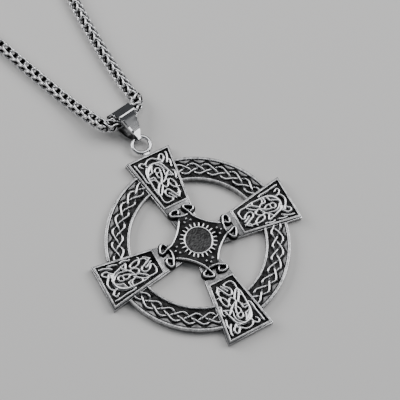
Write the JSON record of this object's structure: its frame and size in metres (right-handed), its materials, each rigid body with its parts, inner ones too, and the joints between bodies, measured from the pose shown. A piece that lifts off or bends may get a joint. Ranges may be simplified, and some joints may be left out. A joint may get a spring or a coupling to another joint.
{
  "type": "celtic cross pendant necklace",
  "caption": "Ringed cross pendant with raised interlace, hung by a folded bail on a wheat-link neck chain, lying flat with the chain laid out as a closed loop.",
  "frame": {"origin": "the middle of the cross on its flat back, which rests on the surface", "axes": "+Z out of the decorated face, +Y along the upper arm towards the bail and the chain"},
  "size_m": [0.109, 0.2974, 0.0077],
  "materials": {
    "antiqued_steel": "polished ridges over blackened hollows",
    "polished_steel": "mirror polish with bright bevelled edges",
    "chain_steel": "polished wire with darkened gaps",
    "clasp_steel": "polished"
  },
  "bodies": {
    "root": {"cross_pendant": "antiqued_steel", "bail": "polished_steel", "chain": "chain_steel", "clasp": "clasp_steel"}
  },
  "joints": []
}
